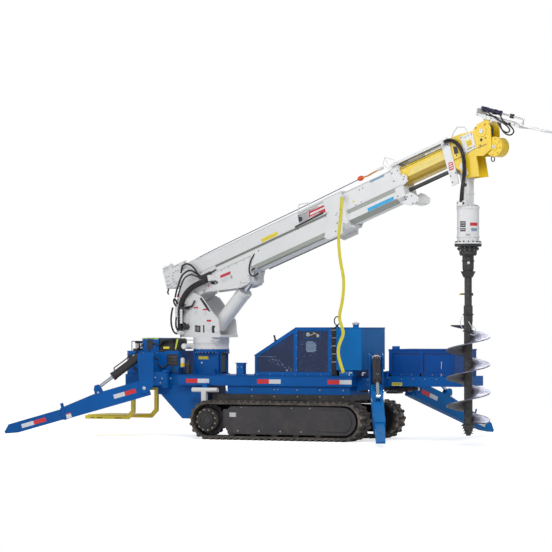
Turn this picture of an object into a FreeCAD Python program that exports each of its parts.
"""Mini digger derrick on rubber tracks, a FreeCAD 1.1 macro, in millimetres.

Frame: the origin is on the slew axis at ground level, +Z is up and +X runs along the
machine from the operator's platform to the cargo box. The boom is slewed a little
towards -Y, which is the near side. Every driving size is a named cell of the sheet
"sizes", and every sub-part is bound to those cells by expressions.
"""
import FreeCAD, Part
import math
import os
import Sketcher
from FreeCAD import Placement, Rotation, Vector

os.makedirs("parts", exist_ok=True)
doc = FreeCAD.newDocument("DiggerDerrick")

SIZES = {
    # Running gear
    "track_start": 40, "track_length": 2160, "track_height": 450, "track_width": 300,
    "track_gauge": 1020, "track_belt": 24, "track_lug": 20, "lug_count": 60,
    "beam_width": 200, "beam_bottom": 140, "beam_top": 350, "beam_inset": 190,
    "roller_radius": 55, "roller_count": 5, "roller_pitch": 270, "roller_width": 230,
    "sprocket_width": 60, "sprocket_teeth": 18, "tooth_depth": 18,
    "hub_radius": 135, "hub_length": 130, "hub_cap_radius": 80, "hub_cap_length": 22,
    "idler_width": 60, "axle_radius": 30, "running_gap": 0.3,
    # Chassis
    "chassis_half": 360, "rail_start": -260, "rail_end": 1950, "rail_top": 735,
    "rail_bottom": 612, "rail_width": 60, "sill_start": 380, "sill_end": 1920,
    "sill_bottom": 520, "sill_half": 345, "sill_width": 60, "deck_plate": 8,
    "carrier_start": 300, "carrier_top": 520, "carrier_bottom": 452, "carrier_half": 350,
    "axle_box_width": 170, "axle_box_bottom": 250, "axle_box_start": 560, "axle_box_pitch": 840,
    "spine_half": 190, "spine_bottom": 560, "spine_top": 715,
    "skid_half": 280, "skid_wall": 12, "skid_start": -520, "skid_bottom": 220, "skid_end": 50,
    "skid_flat": 290, "skid_top": 500,
    # Pedestal and slew ring
    "pedestal_length": 320, "pedestal_width": 260, "pedestal_top": 1000, "pedestal_wall": 16,
    "flange_radius": 212, "flange_height": 30, "ring_height": 70, "ring_radius": 205,
    "worm_radius": 34, "worm_length": 300, "worm_motor_radius": 32, "worm_motor_length": 130,
    "slew_gap": 0.3, "slew_rest": 16,
    # Engine end
    "engine_start": 727, "engine_end": 1696, "engine_half": 340, "engine_low": 970,
    "engine_top": 1287, "engine_knee": 1246, "engine_wall": 15, "block_gap": 90,
    "column_length": 55, "column_half": 325, "tank_end": 2066, "tank_bottom": 800,
    "tank_top": 1284, "tank_round": 30, "engine_post": 24, "engine_beam": 40, "engine_panel": 7, "filler_radius": 34, "filler_height": 50,
    # Cargo box
    "cargo_start": 2400, "cargo_end": 3188, "cargo_half": 345,
    "cargo_top": 1040, "cargo_wall": 22, "cargo_rail_end": 3264, "cargo_rail_bottom": 625,
    "cargo_rail_height": 113, "panel_inset": 8, "panel_margin": 45,
    # Operator's end
    "deck_start": -1000, "deck_half": 270, "deck_bottom": 580,
    "cabinet_start": -980, "cabinet_step": -780, "cabinet_back": -560, "cabinet_end": -300,
    "cabinet_low": 1010, "cabinet_high": 1160, "cabinet_near": 262,
    "console_start": -540, "console_end": -315, "console_height": 140, "console_depth": 205,
    "lever_count": 6, "lever_radius": 5, "lever_height": 62, "lever_base": 26, "lever_pitch": 32, "knob_radius": 13,
    "step_start": -1520, "step_bend": -860, "step_half": 315, "step_tube": 42, "step_height": 200,
    "step_plate": 10, "step_plate_end": -950,
    "tool_start": -36, "tool_end": 293, "tool_height": 562, "tool_radius": 27, "tool_wall": 3, "tool_side": 420,
    "tool_post": 120, "tool_post_bottom": 430, "tool_post_width": 60,
    # Outriggers
    "pin_rear": -431, "pin_front": 2227, "pin_side": 330, "pin_radius": 24,
    "hub_tube_radius": 42, "hub_tube_bottom": 606, "hub_tube_top": 764, "lug_plate": 24,
    "lug_half": 55, "arm_length": 250, "hinge_height": 576, "knuckle_half": 80, "knuckle_plate": 14,
    "knuckle_back": 140, "knuckle_front": 330, "knuckle_crest": 40, "ram_out": 290, "ram_height": 960,
    "leg_half": 62, "leg_depth": 196, "leg_end_depth": 145, "leg_nose": 130, "leg_inner_half": 50,
    "leg_inner_depth": 124, "leg_wall": 6,
    "leg_sleeve": 1010, "leg_tail": 50, "leg_pin_radius": 22, "foot_clearance": 12, "ear_out": 532,
    "ear_up": 148, "ear_plate": 16, "ear_radius": 42, "eye_half": 22, "eye_gap": 0.4,
    "reach_rear": 1620, "reach_front": 1250, "leg_rear_near": 25, "leg_rear_far": 90,
    "leg_front": 65, "ram_radius": 47, "ram_length": 420, "ram_rod_radius": 20, "ram_rod_length": 400,
    "ram_pin_radius": 18, "ram_eye_radius": 30, "ram_gland": 34, "ram_gland_rim": 4,
    # Turret and lift cylinder
    "turret_half": 156, "turret_plate": 18, "turret_base_plate": 30, "turret_base_start": -360,
    "turret_base_end": 280, "turret_back": -430, "cheek_corner": 60, "cheek_rear_rise": 95,
    "cheek_rise": 110, "cheek_shoulder": -10, "cheek_shoulder_rise": 14, "cheek_waist": 140,
    "cheek_waist_drop": 151, "cheek_knee": 249, "cheek_knee_drop": 253, "cheek_toe": 270, "boom_pin_back": 285, "boom_pin_height": 1626,
    "boom_pin_radius": 32, "lift_pin_out": 100, "lift_pin_height": 1280, "lift_pin_radius": 26,
    "lift_radius": 85, "lift_length": 610, "lift_rod_radius": 35, "lift_rod_length": 590,
    "lift_eye_radius": 40, "lift_eye_half": 40, "lift_eye_out": 953, "lift_eye_drop": 102,
    "lift_gland": 46, "lift_gland_rim": 5,
    # Boom, in its own frame: along, across, above the foot pin
    "boom_angle": 18.2, "base_start": 230, "base_end": 2610, "base_bottom": -24, "base_top": 397,
    "base_half": 125, "base_wall": 12, "bevel": 50, "groove_low": 200, "groove_high": 226,
    "groove_depth": 10, "slide_gap": 6, "cover_start": 60, "collar_start": 2345,
    "cover_end": 1930, "cover_recess": 9, "collar_rim": 12, "collar_heel": 110, "collar_drop": 50, "bracket_plate": 6, "bracket_start": 300,
    "bracket_end": 1130, "bracket_slope": 260, "bracket_heel": 90, "bracket_toe": 10, "bracket_margin": 15,
    "lift_ear_foot": 80, "lift_ear_nose": 50,
    "mid_start": 1260, "mid_end": 3450, "mid_low": 140, "mid_high": 166, "mid_wall": 12,
    "mid_collar": 120, "mid_half": 95, "mid_bottom": -6, "mid_top": 379, "tip_start": 2260, "tip_end": 4075, "tip_low": 158,
    # Winch on the boom's rear end
    "winch_back": -275, "winch_plate": 12, "drum_out": -60, "drum_up": 290,
    "drum_radius": 70, "drum_flange": 118, "drum_half": 95, "drum_flange_wall": 10,
    "winch_box_front": -190, "winch_low": 215, "winch_top": 440, "winch_belly": 60,
    # Boom head and digger, both reckoned from the tip's end
    "tip_bracket_length": 110, "tip_bracket_low": -88, "tip_bracket_half": 98, "head_plate": 14,
    "head_half": 84, "head_reach": 670, "head_lobe": 196, "head_low": 165, "head_top": 432,
    "tray_back": 109, "tray_plate": 31, "tray_rib": 265, "head_heel": -110, "head_toe": -65, "tip_rod_radius": 22, "tip_rod_up": 100, "tip_rod_length": 1150,
    "box_reach": 267, "box_length": 165, "box_plate": 12, "box_margin": 42,
    "sheave_reach": 550, "sheave_up": 338, "sheave_radius": 85, "sheave_half": 18,
    "guard_reach": 638, "guard_up": 126, "guard_radius": 108, "guard_half": 60,
    "hang_reach": 201, "hang_up": 66, "hang_pin_radius": 20, "hang_half": 45,
    "yoke_height": 430, "motor_radius": 119, "motor_height": 390,
    "motor_flange_radius": 145, "motor_flange": 45, "coupling_radius": 95, "coupling_height": 85,
    "socket_radius": 62, "socket_height": 150, "cone_height": 80, "kelly_side": 57,
    "kelly_length": 322, "collar_radius": 49, "auger_collar": 180, "stem_radius": 46,
    "auger_length": 1403, "flight_radius": 238, "flight_pitch": 300, "flight_turns": 3.5,
    "flight_wall": 12, "pilot_radius": 70, "pilot_height": 120,
    # Pole guide on the head, which dips below the boom's line
    "guide_shift": 645, "guide_up": 462, "guide_dip": 33.5, "guide_back": 130, "guide_reach": 440,
    "guide_plate": 10, "guide_depth": 40, "guide_ram_up": 75,
    "guide_ram_radius": 24, "guide_ram_length": 260, "guide_rod_radius": 9,
    "tong_length": 420, "tong_plate": 12, "tong_side": 40, "tong_bow": 90, "tong_pin_radius": 10, "tong_pin_proud": 4,
    # Cords
    "strap_width": 45, "strap_wall": 5, "hook_radius": 12, "hook_out": 19, "hook_reach": 36, "hook_up": 324,
    "strap_gap": 18,
    "bundle_radius": 24, "hose_reach": 70, "hose_start_up": 390, "hose_clamp": 35, "cord_gap": 1,
    "trunk_radius": 34, "trunk_start": 482, "trunk_start_up": 83, "gland_back": 322, "gland_height": 1245,
    "manifold_height": 40, "manifold_half": 30,
}


class Size:
    """A number that remembers the sheet expression it comes from."""

    def __init__(self, value, text):
        self.value = float(value)
        self.text = text

    def __add__(self, other):
        return joined(self, "+", other, self.value + number(other))

    def __radd__(self, other):
        return joined(other, "+", self, number(other) + self.value)

    def __sub__(self, other):
        return joined(self, "-", other, self.value - number(other))

    def __rsub__(self, other):
        return joined(other, "-", self, number(other) - self.value)

    def __mul__(self, other):
        return joined(self, "*", other, self.value * number(other))

    def __rmul__(self, other):
        return joined(other, "*", self, number(other) * self.value)

    def __truediv__(self, other):
        return joined(self, "/", other, self.value / number(other))

    def __neg__(self):
        return Size(-self.value, "(-1 * " + self.text + ")")


def number(size):
    """The plain value of a Size or a number."""
    return size.value if isinstance(size, Size) else float(size)


def text(size):
    """The expression text of a Size or a number."""
    return size.text if isinstance(size, Size) else "(" + repr(float(size)) + ")"


def joined(left, sign, right, value):
    return Size(value, "(" + text(left) + " " + sign + " " + text(right) + ")")


def cosine(angle):
    return Size(math.cos(math.radians(number(angle))), "cos(" + text(angle) + ")")


def sine(angle):
    return Size(math.sin(math.radians(number(angle))), "sin(" + text(angle) + ")")


def arctangent(ratio):
    """The angle in degrees, as a plain number."""
    return Size(math.degrees(math.atan(number(ratio))), "(atan(" + text(ratio) + ") / 1 deg)")


def root(square):
    return Size(math.sqrt(number(square)), "sqrt(" + text(square) + ")")


class Sheet:
    """Fills the sheet and hands each alias out as a Size."""

    def __init__(self, sizes):
        self.sheet = doc.addObject("Spreadsheet::Sheet", "sizes")
        for row, (alias, value) in enumerate(sizes.items(), 1):
            self.sheet.set("A" + str(row), alias)
            self.sheet.set("B" + str(row), str(value))
            self.sheet.setAlias("B" + str(row), alias)
            setattr(self, alias, Size(value, "sizes." + alias))
        doc.recompute()


z = Sheet(SIZES)
z.knuckle_top = z.ram_height + z.knuckle_crest
z.box_start = z.tip_end + z.box_reach
z.sheave_out = z.tip_end + z.sheave_reach
z.guard_out = z.tip_end + z.guard_reach
z.hang_out = z.tip_end + z.hang_reach
z.guide_out = z.tip_end + z.guide_shift
z.hose_start = z.tip_end + z.hose_reach
NODES = []


# ---------------------------------------------------------------- drawing tools
def bind(feature, prop, size):
    if isinstance(size, Size):
        feature.setExpression(prop, size.text)
    else:
        setattr(feature, prop, size)


def place(feature, at, turn=(0, 0, 0)):
    """Puts a feature at a point, turned by yaw, pitch and roll in degrees."""
    spot = "vector(" + "; ".join(text(value) for value in at) + ")"
    turned = "rotation(" + "; ".join(text(value) for value in turn) + ")"
    feature.setExpression("Placement", "placement(" + spot + "; " + turned + ")")


def box(low, high):
    """A block between two opposite corners."""
    block = doc.addObject("Part::Box", "block")
    for prop, start, end in zip(("Length", "Width", "Height"), low, high):
        bind(block, prop, end - start)
    place(block, low)
    return block


ALONG = {"x": (0, 90, 0), "y": (0, 0, -90), "z": (0, 0, 0)}


def rod(at, radius, length, axis="z"):
    """A cylinder that starts at a point and runs along an axis."""
    bar = doc.addObject("Part::Cylinder", "rod")
    bind(bar, "Radius", radius)
    bind(bar, "Height", length)
    place(bar, at, ALONG[axis])
    return bar


def across(at, radius, half, axis="y"):
    """A cylinder centred on a point."""
    start = tuple(value - half if axis == name else value for value, name in zip(at, "xyz"))
    return rod(start, radius, 2 * half, axis)


def cone(at, low_radius, high_radius, height):
    taper = doc.addObject("Part::Cone", "taper")
    bind(taper, "Radius1", low_radius)
    bind(taper, "Radius2", high_radius)
    bind(taper, "Height", height)
    place(taper, at)
    return taper


def plate(plane, points, start, end):
    """A PartDesign pad of a closed outline, between two distances from its plane.

    Outlines in XZ are (x, z) and run from y = start to y = end; outlines in YZ are
    (y, z) and run along x; outlines in XY are (x, y) and run along z.
    """
    body = doc.addObject("PartDesign::Body", "plate")
    sketch = outline_sketch(body, plane, points)
    pad = body.newObject("PartDesign::Pad", "pad")
    pad.Profile = sketch
    bind(pad, "Length", end - start)
    pad.Reversed = plane == "XZ"
    shift = {"XZ": (0, start, 0), "YZ": (start, 0, 0), "XY": (0, 0, start)}[plane]
    place(body, shift)
    return body


def outline_sketch(body, plane, points):
    """A closed outline on one of a body's origin planes, each corner tied to the sheet."""
    origin_plane = [item for item in body.Origin.OriginFeatures if item.Role == plane + "_Plane"][0]
    sketch = body.newObject("Sketcher::SketchObject", "outline")
    sketch.AttachmentSupport = [(origin_plane, "")]
    sketch.MapMode = "FlatFace"
    count = len(points)
    flat = [Vector(number(u), number(v), 0) for u, v in points]
    for index in range(count):
        sketch.addGeometry(Part.LineSegment(flat[index], flat[(index + 1) % count]), False)
    for index in range(count):
        sketch.addConstraint(Sketcher.Constraint("Coincident", index, 2, (index + 1) % count, 1))
    for index, point in enumerate(points):
        for kind, value in zip(("DistanceX", "DistanceY"), point):
            made = sketch.addConstraint(Sketcher.Constraint(kind, -1, 1, index, 1, number(value)))
            if isinstance(value, Size):
                sketch.setExpression("Constraints[" + str(made) + "]", value.text)
    return sketch


def twins(plane, points, inner, outer):
    """The same plate on both sides of the middle plane."""
    return [plate(plane, points, inner, outer), plate(plane, points, -outer, -inner)]


def fuse(pieces):
    if len(pieces) == 1:
        return pieces[0]
    joined_pieces = doc.addObject("Part::MultiFuse", "joined")
    joined_pieces.Shapes = pieces
    return joined_pieces


def cut(base, tools):
    """The base pieces less the tools."""
    difference = doc.addObject("Part::Cut", "difference")
    difference.Base = fuse(base)
    difference.Tool = fuse(tools)
    return difference


def node(label, shape, at=(0, 0, 0), turn=(0, 0, 0)):
    """Names a finished sub-part and puts it in its place."""
    if isinstance(shape, list) and len(shape) > 1:
        shape = fuse(shape)
    if isinstance(shape, list) or shape.TypeId not in ("Part::MultiFuse", "Part::Cut", "Part::Feature"):
        holder = doc.addObject("Part::Compound", "holder")
        holder.Links = shape if isinstance(shape, list) else [shape]
    else:
        holder = shape
    holder.Label = label
    place(holder, at, turn)
    NODES.append(holder)
    return holder


SIDES = (("near", -1), ("far", 1))


# ---------------------------------------------------------------- running gear
def loop_point(distance, radius, straight):
    """A point on a loop of two straights and two half circles, with its outward normal."""
    arc = math.pi * radius
    distance = distance % (2 * straight + 2 * arc)
    if distance < straight:
        return distance, radius, 0.0, 1.0
    distance -= straight
    if distance < arc:
        angle = math.pi / 2 - distance / radius
        return straight + radius * math.cos(angle), radius * math.sin(angle), math.cos(angle), math.sin(angle)
    distance -= arc
    if distance < straight:
        return straight - distance, -radius, 0.0, -1.0
    distance -= straight
    angle = -math.pi / 2 - distance / radius
    return radius * math.cos(angle), radius * math.sin(angle), math.cos(angle), math.sin(angle)


def lugged_band(first, low, high):
    """Half the width of a track: the belt with its lugs, which start at a share of the pitch."""
    radius = z.track_height.value / 2 - z.track_lug.value
    straight = z.track_length.value - z.track_height.value
    pitch = (2 * straight + 2 * math.pi * radius) / z.lug_count.value
    points = []
    for lug in range(int(z.lug_count.value)):
        for share, lift in ((0.0, 0), (0.1, 1), (0.42, 1), (0.52, 0)):
            x, y, out_x, out_y = loop_point((lug + first + share) * pitch, radius, straight)
            rise = lift * z.track_lug.value
            points.append(Vector(x + rise * out_x, low, y + rise * out_y))
    outer = Part.makePolygon(points + points[:1])
    inner_radius = radius - z.track_belt.value
    top, bottom = inner_radius, -inner_radius
    edges = [
        Part.LineSegment(Vector(0, low, top), Vector(straight, low, top)).toShape(),
        Part.Arc(Vector(straight, low, top), Vector(straight + inner_radius, low, 0),
                 Vector(straight, low, bottom)).toShape(),
        Part.LineSegment(Vector(straight, low, bottom), Vector(0, low, bottom)).toShape(),
        Part.Arc(Vector(0, low, bottom), Vector(-inner_radius, low, 0), Vector(0, low, top)).toShape(),
    ]
    face = Part.makeFace([outer, Part.Wire(edges)], "Part::FaceMakerBullseye")
    return face.extrude(Vector(0, high - low, 0))


def make_track(side, sign):
    """A rubber track: one closed belt whose lugs stand in two rows, half a pitch apart."""
    half = z.track_width.value / 2
    shape = lugged_band(0.0, -half, 0.0).fuse(lugged_band(0.5, 0.0, half))
    track = doc.addObject("Part::Feature", "track")
    track.Shape = shape
    end = z.track_start + z.track_height / 2
    node("track_" + side, track, (end, sign * z.track_gauge / 2, z.track_height / 2))


def wheel_radius():
    """The radius at which a sprocket or idler meets the inside of its belt."""
    return z.track_height / 2 - z.track_lug - z.track_belt - z.running_gap


def make_track_frame(side, sign):
    """The side beam inside a track, with its bottom rollers and the idler at the far end."""
    middle = sign * z.track_gauge / 2
    start = z.track_start + z.track_height / 2 + z.beam_inset
    idler_x = z.track_start + z.track_length - z.track_height / 2
    end = idler_x - wheel_radius() - z.axle_radius
    half = z.beam_width / 2
    axle_z = z.track_height / 2
    roller_z = z.track_lug + z.track_belt + z.running_gap + z.roller_radius
    pieces = [box((start, middle - half, z.beam_bottom), (end, middle + half, z.beam_top))]
    for cheek in (-1, 1):
        inner = middle + cheek * (z.idler_width / 2 + z.running_gap)
        outer = middle + cheek * half
        low, high = (inner, outer) if cheek > 0 else (outer, inner)
        pieces.append(box((end - z.axle_radius, low, axle_z - 2 * z.axle_radius),
                          (idler_x + 2 * z.axle_radius, high, axle_z + 2 * z.axle_radius)))
    pieces.append(across((idler_x, middle, axle_z), z.axle_radius, half))
    pieces.append(across((idler_x, middle, axle_z), wheel_radius(), z.idler_width / 2))
    first = (start + end) / 2 - z.roller_pitch * (z.roller_count - 1) / 2
    for index in range(int(z.roller_count.value)):
        pieces.append(across((first + index * z.roller_pitch, middle, roller_z),
                             z.roller_radius, z.roller_width / 2))
    node("track_frame_" + side, pieces)


def make_drive_hub(side, sign):
    """The toothed drive sprocket on its hydraulic travel motor."""
    middle = sign * z.track_gauge / 2
    axle = (z.track_start + z.track_height / 2, middle, z.track_height / 2)
    outline = []
    teeth = int(z.sprocket_teeth.value)
    for tooth in range(teeth):
        for share, depth in ((0.0, 1), (0.3, 0), (0.7, 0)):
            angle = 360.0 * (tooth + share) / teeth
            radius = wheel_radius() - depth * z.tooth_depth
            outline.append((radius * math.cos(math.radians(angle)), radius * math.sin(math.radians(angle))))
    wheel = plate("XZ", outline, middle - z.sprocket_width / 2, middle + z.sprocket_width / 2)
    holder = doc.addObject("Part::Compound", "wheel")
    holder.Links = [wheel]
    place(holder, (axle[0], 0, axle[2]))
    face = z.sprocket_width / 2
    inward = z.beam_width / 2 + z.axle_radius
    pieces = [holder]
    for reach, radius in ((z.hub_length, z.hub_radius), (z.hub_length + z.hub_cap_length, z.hub_cap_radius)):
        start = middle if sign > 0 else middle - reach
        pieces.append(rod((axle[0], start, axle[2]), radius, reach, "y"))
    start = middle - face - inward if sign > 0 else middle
    pieces.append(rod((axle[0], start, axle[2]), z.hub_cap_radius, face + inward, "y"))
    node("drive_hub_" + side, pieces)


def make_undercarriage():
    """The black carrier under the chassis, with the travel motors' arms and two axle boxes."""
    pieces = [box((z.carrier_start, -z.carrier_half, z.carrier_bottom),
                  (z.sill_end, z.carrier_half, z.carrier_top))]
    reach = z.track_gauge / 2 - z.beam_width / 2 - z.running_gap
    for index in range(2):
        start = z.axle_box_start + index * z.axle_box_pitch
        end = start + z.axle_box_width
        pieces.append(box((start, -reach, z.axle_box_bottom), (end, reach, z.beam_top)))
        pieces.append(box((start, -z.carrier_half, z.beam_top), (end, z.carrier_half, z.carrier_bottom)))
    hub = z.track_start + z.track_height / 2
    for sign in (-1, 1):
        inner = z.carrier_half - z.hub_cap_radius
        arm = (z.track_gauge / 2 - z.sprocket_width / 2 - z.beam_width / 2 - z.axle_radius
               - z.running_gap)
        low, high = (inner, arm) if sign > 0 else (-arm, -inner)
        pieces.append(box((hub - z.hub_cap_radius, low, z.track_height / 2 - z.hub_cap_radius),
                          (z.carrier_start + z.hub_radius, high, z.carrier_top)))
    node("undercarriage", pieces)


def make_skid():
    """The bent blue plate that guards the belly in front of the tracks."""
    wall = z.skid_wall
    left = z.skid_start
    flat_start = z.skid_end - z.skid_flat
    outline = [(left, z.skid_top), (flat_start, z.skid_bottom), (z.skid_end, z.skid_bottom),
               (z.skid_end, z.skid_top), (z.skid_end - wall, z.skid_top),
               (z.skid_end - wall, z.skid_bottom + wall), (flat_start + wall / 2, z.skid_bottom + wall),
               (left + 2 * wall, z.skid_top)]
    pieces = [plate("XZ", outline, -z.skid_half, z.skid_half)]
    gusset = [(left + wall, z.skid_top), (flat_start, z.skid_bottom), (z.skid_end, z.skid_bottom),
              (z.skid_end, z.skid_top)]
    pieces += twins("XZ", gusset, z.skid_half - wall, z.skid_half)
    node("skid_plate", pieces)


# ---------------------------------------------------------------- chassis
def make_main_frame():
    """Two rails on two sills, with a deck, cross members, the cargo subframe and pin lugs."""
    inner = z.chassis_half - z.rail_width
    pieces = []
    for sign in (-1, 1):
        low, high = (inner, z.chassis_half) if sign > 0 else (-z.chassis_half, -inner)
        pieces.append(box((z.rail_start, low, z.rail_bottom), (z.rail_end, high, z.rail_top)))
        inside = z.sill_half - z.sill_width
        low, high = (inside, z.sill_half) if sign > 0 else (-z.sill_half, -inside)
        pieces.append(box((z.sill_start, low, z.sill_bottom), (z.sill_end, high, z.rail_bottom)))
        low, high = (inner, z.chassis_half) if sign > 0 else (-z.chassis_half, -inner)
        pieces.append(box((z.cargo_start, low, z.cargo_rail_bottom),
                          (z.cargo_rail_end, high, z.cargo_rail_bottom + z.cargo_rail_height)))
    pieces.append(box((z.rail_start, -inner, z.rail_top - z.deck_plate), (z.rail_end, inner, z.rail_top)))
    for start in (z.rail_start, -z.pedestal_length / 2, z.pedestal_length / 2, z.engine_start,
                  z.engine_end, z.rail_end - z.rail_width):
        pieces.append(box((start, -inner, z.rail_bottom), (start + z.rail_width, inner, z.rail_top)))
    for start in (z.sill_start, z.sill_end - z.sill_width):
        pieces.append(box((start, -z.sill_half, z.sill_bottom), (start + z.sill_width, z.sill_half, z.rail_bottom)))
    pieces.append(box((z.rail_end - z.rail_width, -z.spine_half, z.spine_bottom),
                      (z.cargo_start + z.rail_width, z.spine_half, z.spine_top)))
    for start in (z.cargo_start, z.cargo_rail_end - z.rail_width):
        pieces.append(box((start, -z.chassis_half, z.cargo_rail_bottom),
                          (start + z.rail_width, z.chassis_half, z.cargo_rail_bottom + z.cargo_rail_height)))
    pieces.append(box((z.deck_start, -z.deck_half, z.deck_bottom), (z.rail_start, z.deck_half, z.rail_top)))
    pieces.append(box((z.rail_start - z.rail_width * 5, -z.skid_half, z.skid_top),
                      (z.skid_end, z.skid_half, z.rail_bottom)))
    for pin_x, inside in ((z.pin_rear, z.deck_half - z.rail_width), (z.pin_front, z.spine_half - z.rail_width)):
        for bottom in (z.hub_tube_bottom - z.lug_plate - z.running_gap, z.hub_tube_top + z.running_gap):
            for sign in (-1, 1):
                reach = z.pin_side
                low, high = (inside, reach) if sign > 0 else (-reach, -inside)
                pieces.append(box((pin_x - z.lug_half, low, bottom), (pin_x + z.lug_half, high, bottom + z.lug_plate)))
                pieces.append(rod((pin_x, sign * z.pin_side, bottom), z.lug_half, z.lug_plate))
        for sign in (-1, 1):
            low, high = (inside, inside + z.rail_width) if sign > 0 else (-inside - z.rail_width, -inside)
            pieces.append(box((pin_x - z.lug_half, low, z.spine_bottom),
                              (pin_x + z.lug_half, high, z.hub_tube_top + z.lug_plate)))
            pieces.append(rod((pin_x, sign * z.pin_side, z.hub_tube_bottom - z.lug_plate - z.running_gap),
                              z.pin_radius, z.hub_tube_top - z.hub_tube_bottom + 2 * z.lug_plate))
    node("main_frame", pieces)


def make_pedestal():
    """The hollow box column that carries the slew ring."""
    length, width, wall = z.pedestal_length / 2, z.pedestal_width / 2, z.pedestal_wall
    shell = box((-length, -width, z.rail_top), (length, width, z.pedestal_top))
    hollow = box((wall - length, wall - width, z.rail_top), (length + wall, width - wall, z.pedestal_top - wall))
    flange = rod((0, 0, z.pedestal_top), z.flange_radius, z.flange_height)
    node("pedestal", [cut([shell], [hollow]), flange])


def make_slew_ring():
    """The fixed ring with its worm housing and hydraulic motor."""
    bottom = z.pedestal_top + z.flange_height
    middle = bottom + z.ring_height / 2
    pieces = [rod((0, 0, bottom), z.ring_radius, z.ring_height)]
    worm_x = -z.ring_radius - z.worm_radius / 2
    pieces.append(across((worm_x, 0, middle), z.worm_radius, z.worm_length / 2))
    pieces.append(rod((worm_x, -z.worm_length / 2 - z.worm_motor_length, middle),
                      z.worm_motor_radius, z.worm_motor_length, "y"))
    node("slew_ring", pieces)


def make_engine_end():
    """The hollow engine housing, the engine in it, the hose column and the fuel tank."""
    outline = [(z.engine_start, z.rail_top), (z.engine_start, z.engine_low), (z.engine_knee, z.engine_top),
               (z.engine_end, z.engine_top), (z.engine_end, z.rail_top)]
    wall = z.engine_wall
    inside = [(z.engine_start + wall, z.rail_top), (z.engine_start + wall, z.engine_low - wall / 2),
              (z.engine_knee + wall / 3, z.engine_top - wall), (z.engine_end - wall, z.engine_top - wall),
              (z.engine_end - wall, z.rail_top)]
    outer = plate("XZ", outline, -z.engine_half, z.engine_half)
    inner = plate("XZ", inside, wall - z.engine_half, z.engine_half - wall)
    post, beam = z.engine_post, z.engine_beam
    sloped = [(z.engine_start + post, z.rail_top + beam), (z.engine_start + post, z.engine_low - post),
              (z.engine_knee - post, z.engine_top - beam - post), (z.engine_knee - post, z.rail_top + beam)]
    upright = [(z.engine_knee + post, z.rail_top + beam), (z.engine_knee + post, z.engine_top - beam),
               (z.engine_end - 2 * post, z.engine_top - beam), (z.engine_end - 2 * post, z.rail_top + beam)]
    panels = twins("XZ", sloped, z.engine_half - z.engine_panel, z.engine_half + wall)
    panels += twins("XZ", upright, z.engine_half - z.engine_panel, z.engine_half + wall)
    node("engine_housing", cut([outer], [inner] + panels))
    gap = z.block_gap
    node("engine_block", box((z.engine_start + gap, gap - z.engine_half, z.rail_top),
                             (z.engine_end - gap, z.engine_half - gap, z.engine_low - gap / 2)))
    column_end = z.engine_end + z.column_length
    node("hose_column", box((z.engine_end + z.running_gap, -z.column_half, z.rail_top),
                            (column_end, z.column_half, z.tank_top)))
    tank = box((column_end + z.running_gap, -z.engine_half, z.tank_bottom),
               (z.tank_end, z.engine_half, z.tank_top))
    middle = (column_end + z.tank_end) / 2
    feet = box((column_end + z.tank_round, -z.column_half, z.rail_top),
               (z.rail_end, z.column_half, z.tank_bottom))
    filler = rod((middle, z.tank_round - z.engine_half / 2, z.tank_top), z.filler_radius, z.filler_height)
    node("fuel_tank", [tank, feet, filler])


def make_cargo_box():
    """The open-topped tool box on the subframe, with two recessed panels on each side."""
    wall = z.cargo_wall
    bottom = z.cargo_rail_bottom + z.cargo_rail_height
    outer = box((z.cargo_start, -z.cargo_half, bottom), (z.cargo_end, z.cargo_half, z.cargo_top))
    tools = [box((z.cargo_start + wall, wall - z.cargo_half, bottom + wall),
                 (z.cargo_end - wall, z.cargo_half - wall, z.cargo_top + wall))]
    panel = (z.cargo_end - z.cargo_start - 3 * z.panel_margin) / 2
    for index in range(2):
        start = z.cargo_start + z.panel_margin + index * (panel + z.panel_margin)
        for sign in (-1, 1):
            low, high = (z.cargo_half - z.panel_inset, z.cargo_half + wall)
            if sign < 0:
                low, high = (-z.cargo_half - wall, z.panel_inset - z.cargo_half)
            tools.append(box((start, low, bottom + z.panel_margin),
                             (start + panel, high, z.cargo_top - z.panel_margin)))
    node("cargo_box", cut([outer], tools))


def make_operator_end():
    """The control cabinet, its console with levers, the step and the tool tube."""
    outline = [(z.cabinet_start, z.rail_top), (z.cabinet_start, z.cabinet_low), (z.cabinet_step, z.cabinet_low),
               (z.cabinet_step, z.cabinet_high), (z.cabinet_back, z.cabinet_high),
               (z.cabinet_back, z.cabinet_low), (z.cabinet_end, z.cabinet_low), (z.cabinet_end, z.rail_top)]
    gap = z.running_gap
    lug_top = z.hub_tube_top + z.lug_plate + gap
    inside, outside = z.deck_half - z.rail_width - gap, z.cabinet_near + z.rail_width
    notches = []
    for low, high in ((inside, outside), (-outside, -inside)):
        notches.append(box((z.pin_rear - z.lug_half - gap, low, z.rail_top - z.deck_plate),
                           (z.pin_rear + z.lug_half + gap, high, lug_top + gap)))
    node("control_cabinet", cut([plate("XZ", outline, -z.cabinet_near, z.cabinet_near)], notches))
    top = z.cabinet_low + z.console_height
    pieces = [box((z.console_start, -z.cabinet_near, z.cabinet_low),
                  (z.console_end, z.console_depth - z.cabinet_near, top))]
    node("control_console", pieces)
    middle = (z.cabinet_start + z.cabinet_step) / 2
    first = -z.cabinet_near + z.lever_pitch
    pieces = [box((middle - z.lever_pitch, first - z.lever_pitch / 2, z.cabinet_low),
                  (middle + z.lever_pitch, first + z.lever_pitch * (z.lever_count - 0.5), z.cabinet_low + z.lever_base))]
    for index in range(int(z.lever_count.value)):
        spot = (middle, first + index * z.lever_pitch)
        pieces.append(rod((spot[0], spot[1], z.cabinet_low), z.lever_radius, z.lever_base + z.lever_height))
        pieces.append(rod((spot[0], spot[1], z.cabinet_low + z.lever_base + z.lever_height),
                          z.knob_radius, z.knob_radius * 2))
    node("control_levers", pieces)


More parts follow.
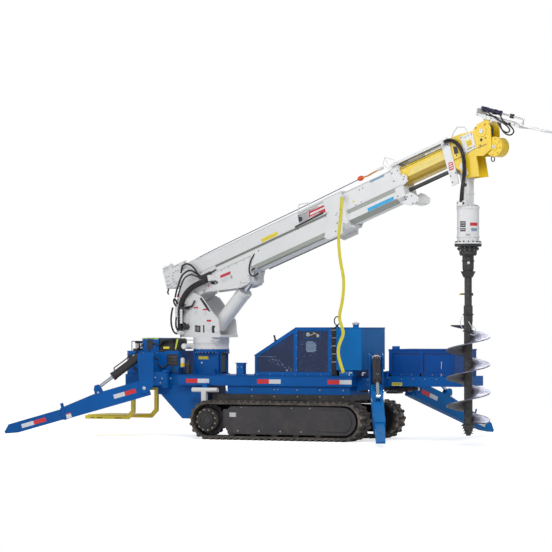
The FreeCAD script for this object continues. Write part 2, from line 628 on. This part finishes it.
def make_step():
    """The operator's step: two bent tubes with a plate across them."""
    tube = z.step_tube
    pieces = []
    knee = z.step_bend - tube * 2
    outline = [(z.step_start, z.step_height), (knee, z.step_height), (z.step_bend, z.step_height + tube * 2),
               (z.step_bend, z.deck_bottom), (z.step_bend - tube, z.deck_bottom),
               (z.step_bend - tube, z.step_height + tube * 2.5), (knee - tube / 2, z.step_height + tube),
               (z.step_start, z.step_height + tube)]
    pieces += twins("XZ", outline, z.step_half - tube, z.step_half)
    pieces.append(box((z.step_start, -z.step_half, z.step_height), (z.step_start + tube, z.step_half, z.step_height + tube)))
    pieces.append(box((z.step_start + tube / 2, tube / 2 - z.step_half, z.step_height + tube),
                      (z.step_plate_end, z.step_half - tube / 2, z.step_height + tube + z.step_plate)))
    pieces.append(box((z.step_bend - tube, -z.step_half, z.deck_bottom - tube),
                      (z.step_bend, z.step_half, z.deck_bottom - z.running_gap)))
    node("operator_step", pieces)


def make_tool_tube():
    """The open tube and its post that hang on the near rail for the digging tools."""
    side = -z.tool_side
    tube = rod((z.tool_start, side, z.tool_height), z.tool_radius, z.tool_end - z.tool_start, "x")
    bore = rod((z.tool_start - z.tool_wall, side, z.tool_height), z.tool_radius - z.tool_wall,
               z.tool_end - z.tool_start + 2 * z.tool_wall, "x")
    post = box((z.tool_post - z.tool_post_width / 2, side - z.tool_radius, z.tool_post_bottom),
               (z.tool_post + z.tool_post_width / 2, side + z.tool_radius, z.tool_height))
    arm = box((z.tool_post - z.tool_post_width / 2, side, z.tool_height),
              (z.tool_post + z.tool_post_width / 2, -z.chassis_half - z.running_gap, z.rail_bottom + z.tool_radius))
    node("tool_tube", cut([tube, post, arm], [bore]))


# ---------------------------------------------------------------- outriggers
def make_outrigger(corner, pin_x, side, heading, reach):
    """One outrigger: knuckle, leg, ram barrel and ram rod, in the plane of its leg.

    The leg's plane stands on the knuckle's upright pin, and each piece is drawn with x
    outward from that pin.
    """
    pin = (pin_x, side * z.pin_side, 0)
    turn = (heading, 0, 0)
    hinge = (z.arm_length, 0, z.hinge_height)

    # Knuckle
    outline = [(z.knuckle_back, z.knuckle_top), (z.knuckle_front, z.knuckle_top - z.leg_pin_radius),
               (z.knuckle_front, z.ram_height - z.ram_eye_radius), (z.arm_length + z.lug_half, z.hinge_height),
               (z.arm_length + z.leg_pin_radius * 2, z.hinge_height - z.lug_half),
               (z.arm_length - z.leg_pin_radius, z.hinge_height - z.lug_half - z.knuckle_plate),
               (z.knuckle_back, z.hub_tube_bottom)]
    pieces = twins("XZ", outline, z.knuckle_half - z.knuckle_plate, z.knuckle_half)
    pieces.append(rod((0, 0, z.hub_tube_bottom), z.hub_tube_radius, z.hub_tube_top - z.hub_tube_bottom))
    pieces.append(box((0, -z.hub_tube_radius, z.hub_tube_bottom), (z.knuckle_back, z.hub_tube_radius, z.hub_tube_top)))
    pieces.append(box((z.knuckle_back, -z.knuckle_half, z.hub_tube_bottom),
                      (z.knuckle_back + z.knuckle_plate, z.knuckle_half, z.knuckle_top)))
    pieces.append(across(hinge, z.leg_pin_radius, z.knuckle_half))
    pieces.append(across((z.ram_out, 0, z.ram_height), z.ram_pin_radius, z.knuckle_half))
    bores = [rod((0, 0, z.hub_tube_bottom - z.lug_plate), z.pin_radius + z.running_gap,
                 z.hub_tube_top - z.hub_tube_bottom + 2 * z.lug_plate)]
    node("outrigger_knuckle_" + corner, cut(pieces, bores), pin, turn)

    # Leg, drawn from its hinge and tilted down to its foot
    half, depth = z.leg_half, z.leg_depth / 2
    drop = z.hinge_height - z.foot_clearance - depth
    tilt = arctangent(drop / reach)
    length = root(drop * drop + reach * reach)
    taper = z.ear_out + z.ear_radius
    sleeve = [(-z.leg_tail, -depth), (z.leg_sleeve, -depth), (z.leg_sleeve, z.leg_end_depth - depth),
              (taper, depth), (z.leg_tail, depth), (-z.leg_tail, depth / 2)]
    low = z.leg_wall - depth
    high = low + z.leg_inner_depth
    nose = length + z.leg_nose / 5
    beam = [(z.leg_sleeve - z.leg_tail, low), (length - z.leg_nose, low), (nose - z.leg_wall, low + z.leg_wall * 5),
            (nose, low + z.leg_wall * 9), (length - z.leg_nose / 3, high), (z.leg_sleeve - z.leg_tail, high)]
    pieces = [plate("XZ", sleeve, -half, half), plate("XZ", beam, -z.leg_inner_half, z.leg_inner_half)]
    ear = [(z.ear_out - 1.3 * z.ear_radius, depth - z.leg_wall), (z.ear_out - z.ear_radius, z.ear_up + z.ear_radius / 2),
           (z.ear_out - z.ear_radius / 2, z.ear_up + z.ear_radius), (z.ear_out + z.ear_radius / 2, z.ear_up + z.ear_radius),
           (z.ear_out + z.ear_radius, z.ear_up), (taper, depth - z.leg_wall)]
    pieces += twins("XZ", ear, z.eye_half + z.eye_gap, z.eye_half + z.eye_gap + z.ear_plate)
    hole = across((0, 0, 0), z.leg_pin_radius + z.running_gap, z.knuckle_half)
    world_hinge = (pin_x + z.arm_length * cosine(heading), side * z.pin_side + z.arm_length * sine(heading),
                   z.hinge_height)
    node("outrigger_leg_" + corner, cut(pieces, [hole]), world_hinge, (heading, tilt, 0))

    # Ram, drawn from its upper pin along x
    ear_x = z.arm_length + z.ear_out * cosine(tilt) + z.ear_up * sine(tilt)
    ear_z = z.hinge_height - z.ear_out * sine(tilt) + z.ear_up * cosine(tilt)
    run, fall = ear_x - z.ram_out, z.ram_height - ear_z
    slope = arctangent(fall / run)
    span = root(run * run + fall * fall)
    top = (pin_x + z.ram_out * cosine(heading), side * z.pin_side + z.ram_out * sine(heading), z.ram_height)
    eye = across((0, 0, 0), z.ram_eye_radius, z.ram_eye_radius)
    base = z.ram_eye_radius * 0.7
    barrel = rod((base, 0, 0), z.ram_radius, z.ram_length - base, "x")
    gland = rod((z.ram_length - z.ram_gland, 0, 0), z.ram_radius + z.ram_gland_rim, z.ram_gland, "x")
    bore = rod((z.ram_radius, 0, 0), z.ram_rod_radius + z.running_gap, z.ram_length, "x")
    pin_hole = across((0, 0, 0), z.ram_pin_radius + z.running_gap, z.knuckle_half)
    node("outrigger_barrel_" + corner, cut([barrel, gland, eye], [bore, pin_hole]), top, (heading, slope, 0))
    shaft = rod((span - z.ram_rod_length, 0, 0), z.ram_rod_radius, z.ram_rod_length, "x")
    eye = across((span, 0, 0), z.ram_eye_radius, z.eye_half)
    node("outrigger_rod_" + corner, [shaft, eye], top, (heading, slope, 0))


# ---------------------------------------------------------------- turret
def in_boom_plane(out, height, side=0):
    """The place of a point that lies some way out along the slewed boom plane."""
    return (out * cosine(z.slew_rest) + side * sine(z.slew_rest),
            side * cosine(z.slew_rest) - out * sine(z.slew_rest), height)


def make_turret():
    """The turning base with its two cheeks, between which the boom and its ram are pinned."""
    bottom = z.pedestal_top + z.flange_height + z.ring_height + z.slew_gap
    base = bottom + z.ring_height
    top = base + z.turret_base_plate
    half, inner = z.turret_half, z.turret_half - z.turret_plate
    pieces = [rod((0, 0, bottom), z.flange_radius, z.ring_height)]
    pieces.append(box((z.turret_base_start, -half, base), (z.turret_base_end, half, top)))
    pin_back, pin_up = -z.boom_pin_back, z.boom_pin_height
    corner = z.cheek_corner
    cheek = [(z.turret_base_start, top), (z.turret_back, pin_up - corner),
             (z.turret_back + corner, pin_up + z.cheek_rear_rise), (pin_back + corner, pin_up + z.cheek_rise),
             (z.cheek_shoulder, pin_up + z.cheek_shoulder_rise), (z.cheek_waist, pin_up - z.cheek_waist_drop),
             (z.cheek_knee, pin_up - z.cheek_knee_drop), (z.cheek_toe, top)]
    pieces += twins("XZ", cheek, inner, half)
    pieces.append(across((pin_back, 0, pin_up), z.boom_pin_radius, half))
    trunk = half + z.trunk_radius + z.cord_gap
    pieces.append(box((-z.gland_back - z.trunk_radius, -trunk - z.trunk_radius, top),
                      (z.trunk_radius - z.gland_back, -inner, z.gland_height)))
    pieces.append(across((z.lift_pin_out, 0, z.lift_pin_height), z.lift_pin_radius, half))
    node("turret", pieces, (0, 0, 0), (-z.slew_rest, 0, 0))


def lift_geometry():
    """Length and slope of the lift ram between its two pins."""
    angle = z.boom_angle
    eye_out = z.lift_eye_out * cosine(angle) + z.lift_eye_drop * sine(angle) - z.boom_pin_back
    eye_up = z.boom_pin_height + z.lift_eye_out * sine(angle) - z.lift_eye_drop * cosine(angle)
    run, rise = eye_out - z.lift_pin_out, eye_up - z.lift_pin_height
    return root(run * run + rise * rise), arctangent(rise / run)


def make_lift_ram():
    span, slope = lift_geometry()
    place_at = in_boom_plane(z.lift_pin_out, z.lift_pin_height)
    turn = (-z.slew_rest, -slope, 0)
    hole = across((0, 0, 0), z.lift_pin_radius + z.running_gap, z.turret_half)
    bore = rod((z.lift_radius, 0, 0), z.lift_rod_radius + z.running_gap, z.lift_length, "x")
    eye_radius = z.lift_eye_radius + z.slide_gap
    base = eye_radius * 0.7
    barrel = [rod((base, 0, 0), z.lift_radius, z.lift_length - base, "x"), across((0, 0, 0), eye_radius, eye_radius),
              rod((z.lift_length - z.lift_gland, 0, 0), z.lift_radius + z.lift_gland_rim, z.lift_gland, "x")]
    node("lift_ram_barrel", cut(barrel, [bore, hole]), place_at, turn)
    shaft = rod((span - z.lift_rod_length, 0, 0), z.lift_rod_radius, z.lift_rod_length, "x")
    eye = across((span, 0, 0), z.lift_eye_radius, z.lift_eye_half)
    node("lift_ram_rod", [shaft, eye], place_at, turn)


# ---------------------------------------------------------------- boom
def boom_node(label, pieces):
    """A piece drawn in the boom's own frame, which starts at the foot pin."""
    node(label, pieces, in_boom_plane(-z.boom_pin_back, z.boom_pin_height), (-z.slew_rest, -z.boom_angle, 0))


def section(half, low, high, groove_low, groove_high):
    """A boom section: two stacked boxes with a groove between, and bevelled below."""
    bevel, depth = z.bevel, z.groove_depth
    right = [(half - bevel, low), (half, low + bevel), (half, groove_low), (half - depth, groove_low + depth),
             (half - depth, groove_high - depth), (half, groove_high), (half, high - bevel / 2),
             (half - bevel / 2, high)]
    return right + [(-across_value, up) for across_value, up in reversed(right)]


def make_boom_base():
    half = z.base_half
    pieces = [plate("YZ", section(half, z.base_bottom, z.base_top, z.groove_low, z.groove_high),
                    z.base_start, z.base_end)]
    rim = z.collar_rim
    pieces.append(plate("YZ", section(half + rim, z.base_bottom - rim, z.base_top, z.groove_low,
                                      z.groove_high), z.collar_start, z.base_end))
    side_plate = [(z.base_end + z.hook_reach, z.hook_up + rim), (z.collar_start, z.groove_low),
                  (z.collar_start, z.groove_low / 2), (z.collar_start - z.collar_heel, z.base_bottom),
                  (z.collar_start - z.collar_heel / 2, z.base_bottom - z.collar_drop),
                  (z.base_end - z.collar_heel, z.base_bottom - z.collar_drop)]
    pieces += twins("XZ", side_plate, half, half + rim + z.bracket_plate)
    foot = [(-z.boom_pin_radius * 2, -z.boom_pin_radius), (0, -z.boom_pin_radius * 2),
            (z.base_start + z.bevel, z.base_bottom), (z.base_start + z.bevel, z.base_top),
            (z.cover_start, z.base_top), (-z.boom_pin_radius * 2, z.groove_low / 2)]
    pieces += twins("XZ", foot, half - z.base_wall, half)
    bracket_low = -z.lift_eye_drop - z.lift_eye_radius - z.bracket_margin
    bracket = [(z.bracket_start, z.base_bottom), (z.bracket_start + z.bracket_slope, z.groove_low - z.bevel),
               (z.bracket_end, z.groove_low - z.bevel), (z.bracket_end, z.groove_low / 2.5),
               (z.lift_eye_out + z.bracket_toe, bracket_low), (z.lift_eye_out - z.bracket_heel, bracket_low)]
    pieces += twins("XZ", bracket, half - z.collar_rim, half + z.bracket_plate)
    ear_in = z.lift_eye_half + z.eye_gap
    foot, nose, ear_low = z.lift_ear_foot, z.lift_ear_nose, -z.lift_eye_drop - z.lift_eye_radius
    ear = [(z.lift_eye_out - foot, z.base_bottom + z.running_gap), (z.lift_eye_out - nose, ear_low),
           (z.lift_eye_out + nose, ear_low), (z.lift_eye_out + foot, z.base_bottom + z.running_gap)]
    pieces += twins("XZ", ear, ear_in, half + z.bracket_plate / 2)
    pieces.append(rod((z.base_end + z.hook_out, -half - z.collar_rim - z.strap_gap, z.hook_up),
                      z.hook_radius, z.collar_rim + z.strap_gap + z.base_wall, "y"))
    bores = []
    for start, end, gap in ((z.base_start + z.bevel + z.base_wall, z.collar_start, z.slide_gap),
                            (z.collar_start, z.base_end, z.running_gap)):
        inner = z.mid_half + gap
        bores.append(box((start, -inner, z.mid_bottom - gap), (end, inner, z.mid_top + gap)))
    reach = z.turret_half + 2 * z.trunk_radius + z.cord_gap
    pieces.append(box((z.trunk_start, -reach, z.trunk_start_up - z.trunk_radius),
                      (z.trunk_start + z.trunk_radius, z.base_wall - half, z.trunk_start_up + z.trunk_radius)))
    pin_hole = across((0, 0, 0), z.boom_pin_radius + z.running_gap, z.turret_half)
    recess = [(z.cover_end, z.groove_high + z.bevel / 2), (z.cover_end, z.base_top - z.bevel),
              (z.collar_start - z.bevel * 2, z.base_top - z.bevel), (z.collar_start - z.bevel * 2, z.groove_high + z.bevel / 2)]
    recesses = twins("XZ", recess, half - z.cover_recess, half + z.bracket_plate)
    boom_node("boom_base", cut(pieces, bores + [pin_hole] + recesses))


def make_boom_mid():
    half = z.mid_half
    beam = plate("YZ", section(half, z.mid_bottom, z.mid_top, z.mid_low, z.mid_high), z.mid_start, z.mid_end)
    collar = plate("YZ", section(half + z.collar_rim, z.mid_bottom - z.collar_rim, z.mid_top + z.collar_rim,
                              z.mid_low, z.mid_high), z.mid_end - z.mid_collar, z.mid_end)
    mouth = z.mid_end - z.mid_collar
    bores = []
    for start, end, gap in ((z.mid_start + z.mid_wall, mouth, z.slide_gap), (mouth, z.mid_end, z.running_gap)):
        inner = z.mid_half - z.mid_wall - z.slide_gap + gap
        bores.append(box((start, -inner, z.tip_low - gap),
                         (end, inner, z.mid_top - z.mid_wall - z.slide_gap + gap)))
    rod_start = z.tip_end - z.tip_rod_length - 4 * z.mid_collar
    rod_bore = rod((rod_start, 0, z.tip_rod_up), z.tip_rod_radius + z.running_gap,
                   z.mid_end + z.mid_wall - rod_start, "x")
    boom_node("boom_mid", cut([beam, collar], bores + [rod_bore]))


def make_boom_tip():
    half = z.mid_half - z.mid_wall - z.slide_gap
    low, high = z.tip_low, z.mid_top - z.mid_wall - z.slide_gap
    bevel = z.bevel / 2
    right = [(half - bevel, low), (half, low + bevel), (half, high - bevel), (half - bevel, high)]
    outline = right + [(-side, up) for side, up in reversed(right)]
    boom_node("boom_tip", [plate("YZ", outline, z.tip_start, z.tip_end)])


def make_winch():
    """The winch on the boom's rear end: two cheeks with a motor case, and the rope drum."""
    half, wall = z.base_half - z.base_wall, z.winch_plate
    cheek = [(z.winch_back, z.winch_low), (z.base_start / 2, z.winch_low - z.winch_belly), (z.base_start / 2, z.winch_top),
             (z.winch_back, z.winch_top)]
    pieces = twins("XZ", cheek, half - wall, half)
    pieces.append(box((z.winch_back, -half, z.winch_low), (z.winch_box_front, half, z.winch_top)))
    axle = (z.drum_out, 0, z.drum_up)
    pieces.append(across(axle, z.axle_radius, half))
    drum = [across(axle, z.drum_radius, z.drum_half)]
    for sign in (-1, 1):
        edge = sign * (z.drum_half - z.drum_flange_wall / 2)
        drum.append(across((z.drum_out, edge, z.drum_up), z.drum_flange, z.drum_flange_wall / 2))
    boom_node("winch_frame", pieces)
    boom_node("winch_drum", cut(drum, [across(axle, z.axle_radius + z.running_gap, half)]))


def make_head():
    """The tip's end bracket, the boom head with its box, the rope sheave and the hook guard."""
    wall = z.head_plate
    half = z.tip_bracket_half
    start, end = z.tip_end, z.tip_end + z.tip_bracket_length
    tip_half = z.mid_half - z.mid_wall - z.slide_gap
    outline = [(start, z.tip_bracket_low), (end - wall, z.tip_bracket_low), (end, z.base_top),
               (end - wall, z.base_top + 3 * wall), (start + wall, z.base_top + wall)]
    pieces = twins("XZ", outline, z.head_half, half)
    pieces.append(box((start, -half, z.tip_low), (start + wall, half, z.base_top)))
    tray_low = z.base_top + z.slide_gap
    pieces.append(box((z.mid_end - z.tray_back, -half, tray_low), (start + wall, half, tray_low + z.tray_plate)))
    pieces.append(box((start - z.tray_rib, -tip_half + wall, z.mid_top - z.mid_wall), (start, tip_half - wall, tray_low)))
    pieces.append(rod((start + wall - z.tip_rod_length, 0, z.tip_rod_up), z.tip_rod_radius, z.tip_rod_length, "x"))
    pieces.append(box((start, -half, z.tip_rod_up - 2 * z.tip_rod_radius), (start + wall, half, z.tip_low)))
    clamp = (start + z.hose_clamp, -half - 2 * z.bundle_radius, z.hose_start_up - z.bundle_radius)
    pieces.append(box(clamp, (z.hose_start, -z.head_half - wall / 2, z.hose_start_up + z.bundle_radius)))
    boom_node("tip_bracket", pieces)

    low, top, inner = z.head_low, z.head_top, z.head_half - wall
    lobe = z.hang_out + z.head_lobe
    cheek = [(start + wall + z.running_gap, low), (start + wall + z.running_gap, z.base_top + 2 * wall),
             (z.box_start, z.base_top + wall), (z.box_start + z.box_length, z.base_top - wall),
             (z.sheave_out - 2 * wall, top), (z.sheave_out + z.sheave_radius, top),
             (z.tip_end + z.head_reach - wall, top - 2 * wall), (z.tip_end + z.head_reach, z.sheave_up),
             (z.guard_out - 2 * wall, low - 4 * wall), (z.sheave_out - 5 * wall, low - 6 * wall),
             (lobe, low - 4 * wall), (lobe - 2 * wall, z.head_heel), (z.hang_out - wall, z.head_toe),
             (z.hang_out - 4 * wall, z.hang_up - 2 * wall)]
    pieces = twins("XZ", cheek, inner, z.head_half)
    hub = z.sheave_half + z.running_gap
    for low_side, high_side in ((hub, inner), (-inner, -hub)):
        pieces.append(rod((z.sheave_out, low_side, z.sheave_up), z.sheave_radius / 3, high_side - low_side, "y"))
    pieces.append(across((z.sheave_out, 0, z.sheave_up), z.axle_radius / 2, z.head_half))
    pieces.append(across((z.hang_out, 0, z.hang_up), z.hang_pin_radius, z.head_half))
    pieces.append(box((z.box_start, -inner, z.base_top - 4 * wall),
                      (z.box_start + z.box_length - 2 * wall, inner, z.base_top - 2 * wall)))
    ear = [(z.guide_out - 4 * wall, top - wall), (z.guide_out - wall, z.guide_up + wall),
           (z.guide_out + wall, z.guide_up + wall), (z.guide_out + 3 * wall, top - 4 * wall)]
    pieces += twins("XZ", ear, inner, z.head_half)
    pieces.append(across((z.guide_out, 0, z.guide_up), z.tong_pin_radius,
                         z.head_half + 2 * z.running_gap + z.guide_plate))
    boom_node("boom_head", pieces)

    side = z.head_half + z.running_gap
    margin = z.box_margin
    outer = [(z.box_start, low + wall), (z.box_start + z.box_length, low + 2 * wall),
             (z.box_start + z.box_length, z.base_top - 2 * wall), (z.box_start, z.base_top - wall)]
    window = [(z.box_start + margin, low + margin), (z.box_start + z.box_length - margin, low + margin),
              (z.box_start + z.box_length - margin, z.base_top - margin), (z.box_start + margin, z.base_top - margin)]
    boom_node("head_box", cut(twins("XZ", outer, side, side + z.box_plate),
                              twins("XZ", window, side - wall, side + 2 * z.box_plate)))

    groove = doc.addObject("Part::Torus", "groove")
    bind(groove, "Radius1", z.sheave_radius)
    bind(groove, "Radius2", z.sheave_half / 2)
    place(groove, (z.sheave_out, 0, z.sheave_up), (0, 0, 90))
    axle = (z.sheave_out, 0, z.sheave_up)
    boom_node("boom_sheave", cut([across(axle, z.sheave_radius, z.sheave_half)],
                                 [groove, across(axle, z.axle_radius / 2 + z.running_gap, z.sheave_half * 2)]))

    spot = (z.guard_out, 0, z.guard_up)
    inside = across(spot, z.guard_radius - z.box_plate, z.guard_half - z.box_plate)
    boom_node("hook_guard", [cut([across(spot, z.guard_radius, z.guard_half)], [inside]),
                             box((z.guard_out - 3 * wall, -inner, z.guard_up),
                                 (z.guard_out - 2 * wall, inner, z.head_low + wall))])


def on_boom(out, up, side=0):
    """The place of a point given in the boom's frame."""
    angle = z.boom_angle
    return in_boom_plane(out * cosine(angle) - up * sine(angle) - z.boom_pin_back,
                         z.boom_pin_height + out * sine(angle) + up * cosine(angle), side)


def make_flights(bottom):
    """The auger's round stem with its one helical flight, as a PartDesign additive helix."""
    body = doc.addObject("PartDesign::Body", "flighting")
    stem = body.newObject("PartDesign::AdditiveCylinder", "stem")
    bind(stem, "Radius", z.stem_radius)
    bind(stem, "Height", z.auger_length - z.pilot_height)
    inside = z.stem_radius - z.flight_wall / 2
    low = z.flight_wall
    blade = outline_sketch(body, "XZ", [(inside, low), (z.flight_radius, low),
                                        (z.flight_radius, low + z.flight_wall), (inside, low + z.flight_wall)])
    helix = body.newObject("PartDesign::AdditiveHelix", "flight")
    helix.Profile = blade
    helix.ReferenceAxis = (blade, ["V_Axis"])
    helix.Mode = "pitch-turns-angle"
    bind(helix, "Pitch", z.flight_pitch)
    bind(helix, "Turns", z.flight_turns)
    place(body, (0, 0, bottom + z.pilot_height))
    return body


def make_digger():
    """The hydraulic digger motor on its yoke, and the earth auger below it."""
    spot, turn = on_boom(z.hang_out, z.hang_up), (-z.slew_rest, 0, 0)
    half = z.hang_half
    low = -z.yoke_height
    pieces = [box((-half, -half, low), (half, half, z.hang_pin_radius * 2))]
    reach = z.tip_bracket_half + 2 * z.bundle_radius
    pieces.append(box((-z.manifold_half, -reach, low), (z.manifold_half, -half, low + z.manifold_height)))
    under = low - z.motor_height
    pieces.append(rod((0, 0, under), z.motor_radius, z.motor_height))
    under = under - z.motor_flange
    pieces.append(rod((0, 0, under), z.motor_flange_radius, z.motor_flange))
    hole = across((0, 0, 0), z.hang_pin_radius + z.running_gap, z.head_half)
    node("digger_motor", cut(pieces, [hole]), spot, turn)

    pieces = []
    under = under - z.running_gap - z.coupling_height
    pieces.append(rod((0, 0, under), z.coupling_radius, z.coupling_height))
    under = under - z.socket_height
    pieces.append(rod((0, 0, under), z.socket_radius, z.socket_height))
    under = under - z.cone_height
    pieces.append(cone((0, 0, under), 0.8 * z.kelly_side, z.socket_radius, z.cone_height))
    under = under - z.kelly_length
    side = z.kelly_side / 2
    pieces.append(box((-side, -side, under), (side, side, under + z.kelly_length)))
    pieces.append(rod((0, 0, under - z.auger_collar), z.collar_radius, z.auger_collar))
    bottom = under - z.auger_length
    pieces.append(cone((0, 0, bottom), z.pilot_radius / 3, z.pilot_radius, z.pilot_height))
    pieces.append(make_flights(bottom))
    node("auger", pieces, spot, turn)


def make_pole_guide():
    """The pole guide on top of the head: a beam with its ram, and two claw tongs."""
    spot = on_boom(z.guide_out, z.guide_up)
    turn = (-z.slew_rest, z.guide_dip - z.boom_angle, 0)
    inner, half = z.head_half + z.running_gap * 2, z.head_half + z.running_gap * 2 + z.guide_plate
    deep = z.guide_depth / 2
    cheek = [(-z.guide_back, -deep / 2), (0, -deep), (z.guide_reach + deep, -deep),
             (z.guide_reach + deep, deep - z.tong_plate), (z.guide_reach - 2 * deep, deep - z.tong_plate),
             (z.guide_reach - 2 * deep, deep), (-z.guide_back, deep)]
    pieces = twins("XZ", cheek, inner, half)
    hole = across((0, 0, 0), z.tong_pin_radius + z.running_gap, half * 2)
    pieces.append(box((z.guide_reach - 2 * deep, -half, -deep), (z.guide_reach + deep, half, deep - z.tong_plate)))
    pieces.append(box((-z.guide_back, -half, deep - z.guide_plate), (z.guide_plate - z.guide_back, half, z.guide_ram_up)))
    pieces.append(rod((-z.guide_back, 0, z.guide_ram_up), z.guide_ram_radius, z.guide_ram_length, "x"))
    pieces.append(rod((z.guide_ram_length - z.guide_back, 0, z.guide_ram_up), z.guide_rod_radius,
                      z.guide_reach + z.guide_back - z.guide_ram_length, "x"))
    pieces.append(box((z.guide_reach - z.guide_plate, -z.guide_rod_radius, -deep),
                      (z.guide_reach, z.guide_rod_radius, z.guide_ram_up + z.guide_rod_radius)))
    for sign in (-1, 1):
        pieces.append(rod((z.guide_reach - deep, sign * z.tong_side, -deep), z.tong_pin_radius,
                          2 * deep + z.tong_pin_proud))
    node("pole_guide", cut(pieces, [hole]), spot, turn)
    for side, sign in SIDES:
        width = z.tong_pin_radius * 2
        out, bow = z.tong_length, z.tong_bow
        claw = [(-width, -sign * width), (width, -sign * width), (out * 0.3, sign * bow * 0.3),
                (out * 0.6, sign * bow * 0.7), (out * 0.85, sign * bow * 0.45), (out, -sign * z.tong_side * 0.8),
                (out * 0.9, sign * bow * 0.85), (out * 0.6, sign * bow * 1.1), (out * 0.25, sign * bow * 0.8),
                (-width, sign * width)]
        arm = plate("XY", claw, deep - z.tong_plate + z.running_gap, deep + z.running_gap)
        hub_hole = rod((0, 0, -deep), z.tong_pin_radius + z.running_gap, 3 * deep)
        angle = z.guide_dip - z.boom_angle
        reach, offset = z.guide_reach - deep, sign * z.tong_side
        along_out = z.guide_out + reach * cosine(z.guide_dip)
        along_up = z.guide_up - reach * sine(z.guide_dip)
        node("pole_tong_" + side, cut([arm], [hub_hole]), on_boom(along_out, along_up, offset),
             (-z.slew_rest, angle, 0))


# ---------------------------------------------------------------- cords
def cord_path(points):
    """Straight runs joined by tangent arcs, each as large as its two runs allow."""
    points = [Vector(*point) for point in points]
    edges, last, radii = [], points[0], []
    for index in range(1, len(points) - 1):
        before, here, after = points[index - 1], points[index], points[index + 1]
        back, ahead = before - here, after - here
        trim = 0.45 * min(back.Length, ahead.Length)
        turn = math.pi - back.getAngle(ahead)
        radii.append(trim / math.tan(turn / 2))
        back.normalize()
        ahead.normalize()
        start, end = here + back * trim, here + ahead * trim
        bisector = back + ahead
        bisector.normalize()
        centre_gap = radii[-1] / math.cos(turn / 2)
        middle = here + bisector * (centre_gap - radii[-1])
        edges.append(Part.LineSegment(last, start).toShape())
        edges.append(Part.Arc(start, middle, end).toShape())
        last = end
    edges.append(Part.LineSegment(last, points[-1]).toShape())
    return Part.Wire(edges), radii


def cord(label, points, at, turn, profile, area):
    """A cord's plain solid: its section swept along its path."""
    path, radii = cord_path(points)
    heading = Vector(*points[1]) - Vector(*points[0])
    section_wire = profile(Vector(*points[0]), heading)
    solid = path.makePipeShell([section_wire], True, False)
    print(label, "radii", [round(radius) for radius in radii], "length", round(path.Length),
          "volume over section times length", round(solid.Volume / (area * path.Length), 4))
    holder = doc.addObject("Part::Feature", "cord")
    holder.Shape = solid
    node(label, holder, at, turn)


def round_section(radius):
    return lambda start, heading: Part.Wire([Part.Circle(start, heading, radius).toShape()])


def flat_section(width, wall):
    def profile(start, heading):
        heading.normalize()
        side = heading.cross(Vector(0, 1, 0))
        thick = Vector(0, wall / 2, 0)
        corners = [start + side * (width / 2) + thick, start - side * (width / 2) + thick,
                   start - side * (width / 2) - thick, start + side * (width / 2) - thick]
        return Part.makePolygon(corners + corners[:1])
    return profile


STRAP_ROUTE = [(0, -12.3), (-14, -160), (-30, -310), (-50, -456), (-42, -600), (-18, -752), (24, -905), (26, -1040),
               (4, -1190), (-46, -1357), (-6, -1450), (26, -1540), (-20, -1620), (-58, -1705), (-50, -1815),
               (22, -1975)]
HOSE_ROUTE = [(4147.4, 390.2), (4220, 395), (4287, 348), (4327, 263), (4336, 158), (4315, 38), (4268, -81),
              (4206, -187), (4155.1, -301.7)]
TRUNK_ROUTE = [(146.1, 1855.1), (45, 1821.9), (-70, 1785), (-175, 1735), (-265, 1650), (-315, 1535),
               (-322, 1400), (-322, 1245.3)]


def make_cords():
    """The webbing strap on its hook, the digger's hoses and the hose trunk on the turret."""
    side = -(z.base_half.value + z.collar_rim.value + z.strap_gap.value)
    hook_out, hook_up = z.base_end + z.hook_out, z.hook_up
    route = [(out, 0, up) for out, up in STRAP_ROUTE]
    width, wall = z.strap_width.value, z.strap_wall.value
    cord("boom_strap", route, on_boom(hook_out, hook_up, -(z.base_half + z.collar_rim + z.strap_gap / 2)),
         (-z.slew_rest, 0, 0), flat_section(width, wall), width * wall)
    radius = z.bundle_radius.value
    side = -(z.tip_bracket_half.value + radius + z.running_gap.value)
    cord("digger_hose", [(out, side, up) for out, up in HOSE_ROUTE],
         on_boom(0, 0), (-z.slew_rest, -z.boom_angle, 0), round_section(radius), math.pi * radius * radius)
    radius = z.trunk_radius.value
    side = -(z.turret_half.value + radius + z.cord_gap.value)
    cord("turret_hoses", [(out, side, up) for out, up in TRUNK_ROUTE], (0, 0, 0), (-z.slew_rest, 0, 0),
         round_section(radius), math.pi * radius * radius)


for side_name, side_sign in SIDES:
    make_track(side_name, side_sign)
    make_track_frame(side_name, side_sign)
    make_drive_hub(side_name, side_sign)
make_undercarriage()
make_skid()
make_main_frame()
make_pedestal()
make_slew_ring()
make_engine_end()
make_cargo_box()
make_operator_end()
make_step()
make_tool_tube()
make_outrigger("rear_near", z.pin_rear, -1, 180 + z.leg_rear_near, z.reach_rear)
make_outrigger("rear_far", z.pin_rear, 1, 180 - z.leg_rear_far, z.reach_rear)
make_outrigger("front_near", z.pin_front, -1, -z.leg_front, z.reach_front)
make_outrigger("front_far", z.pin_front, 1, z.leg_front, z.reach_front)
make_turret()
make_lift_ram()
make_boom_base()
make_boom_mid()
make_boom_tip()
make_winch()
make_head()
make_digger()
make_pole_guide()
make_cords()


# ---------------------------------------------------------------- check and write
doc.recompute()
faults = []
for item in doc.Objects:
    if "Invalid" in item.State or "Error" in item.State:
        faults.append(item.Name + " " + str(item.State))
for item in NODES:
    if item.Shape.isNull() or not item.Shape.isValid():
        faults.append(item.Label + " has a bad shape")
if faults:
    raise SystemExit("\n".join(faults))
for item in NODES:
    item.Shape.exportStep(os.path.join("parts", item.Label + ".step"))
    print(item.Label, len(item.Shape.Solids), round(item.Shape.Volume / 1e6, 3))
